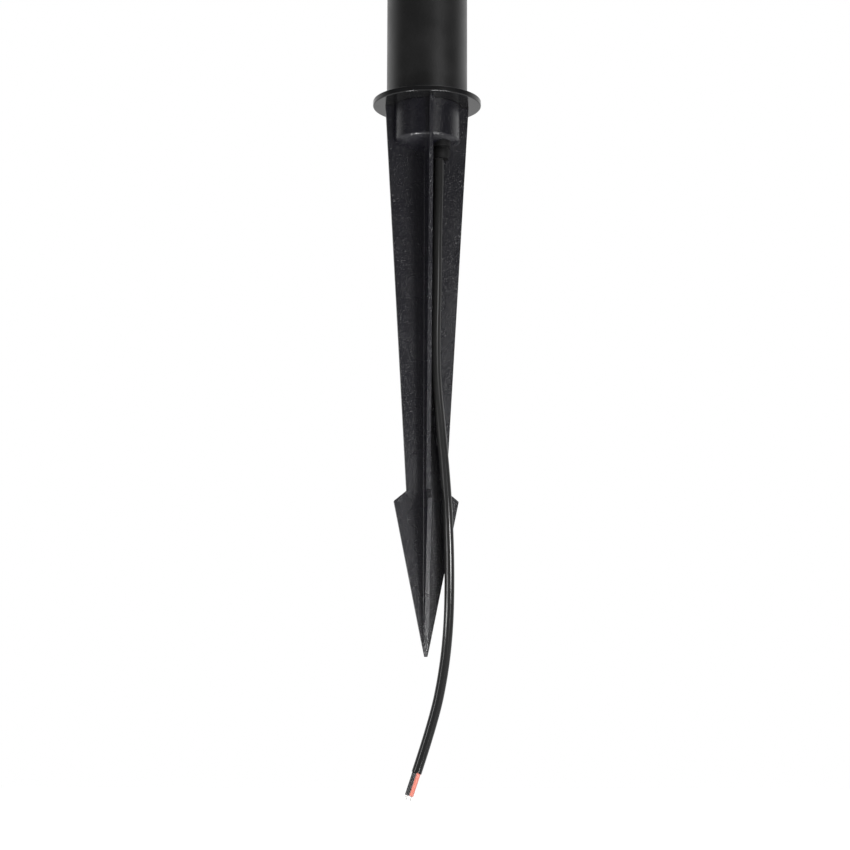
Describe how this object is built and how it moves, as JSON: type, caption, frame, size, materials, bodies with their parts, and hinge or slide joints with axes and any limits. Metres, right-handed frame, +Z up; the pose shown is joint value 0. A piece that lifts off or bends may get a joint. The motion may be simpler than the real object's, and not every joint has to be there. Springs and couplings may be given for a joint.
{
  "type": "spike bollard light",
  "caption": "Round black garden bollard light with an opal head and a base flange, plugged on a barbed cross-blade ground spike, with a stripped supply cable.",
  "frame": {"origin": "on the pole's axis at the underside of the base flange, which lies on the ground", "axes": "+Z up along the pole, the spike's blades along X and Y, the cable exit towards +X and -Y"},
  "size_m": [0.0671, 0.067, 0.8148],
  "materials": {
    "powder_black": "fine-textured black powder coat on aluminium",
    "flange_black": "smooth satin black coat on die-cast aluminium",
    "spike_plastic": "black moulded plastic with a fine spark-eroded texture",
    "rubber_black": "matt black rubber",
    "sheath_black": "black cable sheath with a soft gloss",
    "core_black": "black core insulation",
    "core_red": "red core insulation",
    "tinned_copper": "bare tinned copper strands",
    "steel": "stainless steel",
    "bare_aluminium": "plain aluminium sheet",
    "opal": "opal white diffusing plastic",
    "white_nylon": "natural white nylon",
    "board_white": "white solder mask",
    "chip_yellow": "phosphor-coated light chip",
    "reflector_white": "gloss white reflector",
    "driver_black": "black potting case",
    "silicone": "grey silicone"
  },
  "bodies": {
    "spike": {"ground_spike": "spike_plastic", "cable_grommet": "rubber_black", "lead_tie": "white_nylon", "spigot_seal": "rubber_black", "inner_lead": "sheath_black", "supply_cable": "sheath_black", "core_black": "core_black", "core_red": "core_red", "bare_conductors": "tinned_copper"},
    "flange": {"base_flange": "flange_black"},
    "pole": {"pole_tube": "powder_black", "lock_screw": "steel", "terminal_block": "white_nylon", "driver_module": "driver_black", "driver_strip": "bare_aluminium", "driver_straps": "white_nylon", "strip_screws": "steel", "driver_wires": "core_red", "board_wire_black": "core_black", "board_wire_red": "core_red", "head_base": "powder_black", "base_seal": "rubber_black", "wire_bush": "rubber_black", "led_board": "board_white", "led_chips": "chip_yellow", "board_screws": "steel", "lower_gasket": "silicone", "upper_gasket": "silicone", "diffuser": "opal", "reflector": "reflector_white", "tie_rods": "steel", "head_cap": "powder_black", "cap_screws": "steel"}
  },
  "joints": [
    {"name": "pole_lift", "type": "slide", "parent": "spike", "child": "flange", "axis": [0, 0, 1], "range_m": [0, 0.05], "deforming": ["inner_lead"]},
    {"name": "pole_turn", "type": "hinge", "parent": "flange", "child": "pole", "pos_m": [0, 0, 0], "axis": [0, 0, 1], "range_deg": [-180, 180]}
  ]
}
